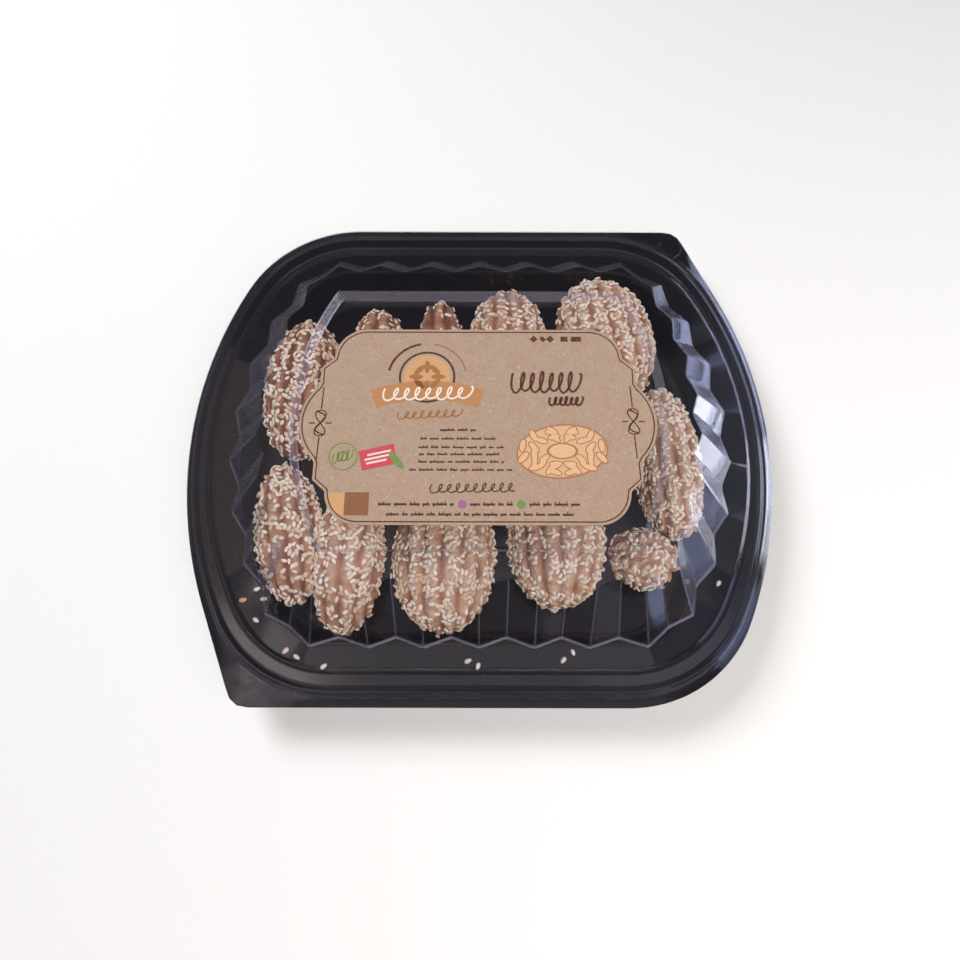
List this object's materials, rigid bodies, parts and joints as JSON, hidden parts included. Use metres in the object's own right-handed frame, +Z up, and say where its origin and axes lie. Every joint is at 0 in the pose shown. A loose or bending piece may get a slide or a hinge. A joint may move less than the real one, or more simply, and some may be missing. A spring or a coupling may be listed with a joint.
{
  "type": "pack of walnut-filled pastries",
  "caption": "Shut food pack: ribbed, sesame-covered filled pastries in a black tray under a clear pleated lid with a sunk top panel and a plain paper label.",
  "frame": {"origin": "under the middle of the pack, on the surface the tray stands on", "axes": "+X across the pack to the right as the label is looked at, +Y away from the front, +Z up"},
  "size_m": [0.26, 0.2266, 0.053],
  "materials": {
    "tray": "glossy black thermoformed polystyrene",
    "lid": "clear thermoformed PET sheet",
    "label": "matt kraft paper with simple printed shapes",
    "crust": "baked pastry crust under sesame seeds",
    "sesame": "pale hulled sesame seed"
  },
  "bodies": {
    "root": {"tray": "tray", "lid": "lid", "label": "label", "pastry_01": "crust", "pastry_02": "crust", "pastry_03": "crust", "pastry_04": "crust", "pastry_05": "crust", "pastry_06": "crust", "pastry_07": "crust", "pastry_08": "crust", "pastry_09": "crust", "pastry_10": "crust", "pastry_11": "crust"}
  },
  "joints": []
}
